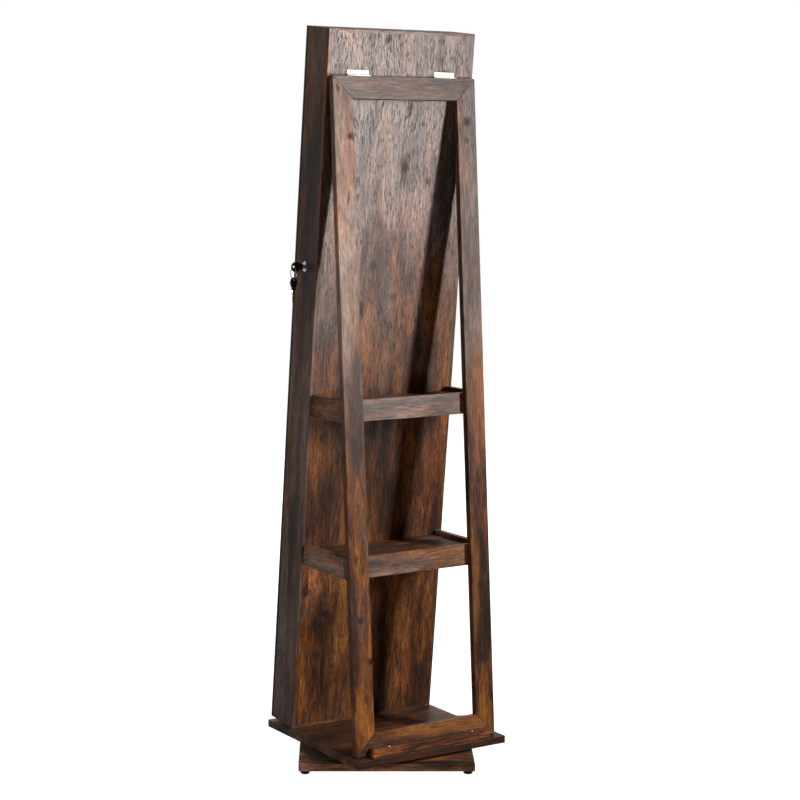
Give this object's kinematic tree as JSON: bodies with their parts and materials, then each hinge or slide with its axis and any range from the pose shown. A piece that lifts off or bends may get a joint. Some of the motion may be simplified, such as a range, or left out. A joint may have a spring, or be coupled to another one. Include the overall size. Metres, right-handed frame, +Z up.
{
  "type": "swivel mirror jewelry cabinet",
  "caption": "Leaning full-length mirror cabinet on a swivel base: jewelry case behind a hinged mirror door with a cam lock, open tray shelves behind in an A-shaped frame.",
  "frame": {"origin": "on the floor, on the swivel axis, midway under the base board", "axes": "+Z up along the swivel axis; the mirror faces -Y and the open shelves +Y; the lock is on the +X side and the door's hinges on the -X side"},
  "size_m": [0.511, 0.511, 1.5601],
  "materials": {
    "rustic_laminate": "satin printed rustic-wood laminate on particle board, edge-banded",
    "turntable_laminate": "satin printed rustic-wood laminate on particle board",
    "door_profile": "satin black coated aluminium extrusion",
    "mirror": "silvered float glass, polished edges",
    "door_board": "black faced fibreboard",
    "lining": "black flocked velvet on card",
    "velvet_roll": "black velvet over soft foam",
    "fitting_plastic": "black moulded, fine matt grain",
    "chrome_trim": "bright chrome plate",
    "nickel_hinge": "bright nickel plate on rolled steel",
    "zinc_steel": "zinc-plated steel",
    "bearing_ring": "turned aluminium, satin",
    "bearing_ball": "polished hardened steel",
    "cage_plastic": "natural nylon",
    "key_plastic": "black moulded",
    "key_metal": "nickel-plated, milled",
    "foot_rubber": "black moulded rubber"
  },
  "bodies": {
    "base": {"base_board": "turntable_laminate", "base_feet": "foot_rubber", "bearing_outer_ring": "bearing_ring", "bearing_base_screws": "zinc_steel"},
    "ball_race": {"bearing_balls": "bearing_ball", "bearing_cage": "cage_plastic"},
    "cabinet": {"bearing_inner_ring": "bearing_ring", "bearing_top_screws": "zinc_steel", "turntable_board": "turntable_laminate", "case_foot_screws": "zinc_steel", "case_side_lock": "rustic_laminate", "case_side_hinge": "rustic_laminate", "case_top": "rustic_laminate", "case_bottom": "rustic_laminate", "case_back": "rustic_laminate", "case_lining": "lining", "inner_shelf_upper": "fitting_plastic", "inner_shelf_lower": "fitting_plastic", "necklace_hook_strip": "fitting_plastic", "earring_rack": "fitting_plastic", "ring_cushion": "velvet_roll", "bracelet_rod": "velvet_roll", "lock_body": "chrome_trim", "lock_nut": "zinc_steel", "door_hinge_case_leaves": "nickel_hinge", "door_hinge_pins": "nickel_hinge", "frame_post_lock_side": "rustic_laminate", "frame_post_hinge_side": "rustic_laminate", "frame_top_rail": "rustic_laminate", "frame_foot_rail": "rustic_laminate", "frame_hinge_case_leaves": "nickel_hinge", "frame_hinge_frame_leaves": "nickel_hinge", "frame_hinge_pins": "nickel_hinge", "frame_hinge_screws": "nickel_hinge", "foot_cleat": "rustic_laminate", "cleat_screws": "chrome_trim", "upper_tray_floor": "rustic_laminate", "upper_tray_sides": "rustic_laminate", "upper_tray_rear": "rustic_laminate", "lower_tray_floor": "rustic_laminate", "lower_tray_sides": "rustic_laminate", "lower_tray_rear": "rustic_laminate", "tray_battens": "rustic_laminate", "tray_screws": "zinc_steel"},
    "door": {"door_stile_lock": "door_profile", "door_stile_hinge": "door_profile", "door_rail_top": "door_profile", "door_rail_bottom": "door_profile", "mirror_glass": "mirror", "door_panel": "door_board", "door_hinge_door_leaves": "nickel_hinge", "lock_keeper": "zinc_steel"},
    "lock_plug": {"lock_plug": "chrome_trim", "lock_cam": "zinc_steel", "cam_screw": "zinc_steel"},
    "key": {"key_blade": "key_metal", "key_head": "key_plastic"},
    "key_ring": {"key_ring": "chrome_trim"},
    "spare_key": {"spare_key_blade": "key_metal", "spare_key_head": "key_plastic"}
  },
  "joints": [
    {"name": "swivel", "type": "hinge", "parent": "base", "child": "cabinet", "pos_m": [0, 0, 0.0287], "axis": [0, 0, 1], "range_deg": [-180, 180]},
    {"name": "ball_race_turn", "type": "hinge", "parent": "base", "child": "ball_race", "pos_m": [0, 0, 0.0287], "axis": [0, 0, 1], "range_deg": [-90, 90]},
    {"name": "door_swing", "type": "hinge", "parent": "cabinet", "child": "door", "pos_m": [-0.1838, -0.1801, 0.05767], "axis": [0, -0.0969, -0.9953], "range_deg": [0, 170]},
    {"name": "lock_turn", "type": "hinge", "parent": "cabinet", "child": "lock_plug", "pos_m": [0.181, -0.04253, 1.06107], "axis": [1, 0, 0], "range_deg": [0, 90]},
    {"name": "key_slide", "type": "slide", "parent": "lock_plug", "child": "key", "axis": [1, 0, 0], "range_m": [0, 0.03]},
    {"name": "key_ring_swing", "type": "hinge", "parent": "key", "child": "key_ring", "pos_m": [0.2098, -0.04253, 1.06107], "axis": [0, 0.9953, -0.0969], "range_deg": [-75, 10]},
    {"name": "spare_key_swing", "type": "hinge", "parent": "key_ring", "child": "spare_key", "pos_m": [0.2098, -0.04253, 1.03407], "axis": [-0.454, 0.891, 0], "range_deg": [-75, 10]}
  ],
  "couplings": [
    {"joint": "ball_race_turn", "follows": "swivel", "ratio": 0.5}
  ]
}
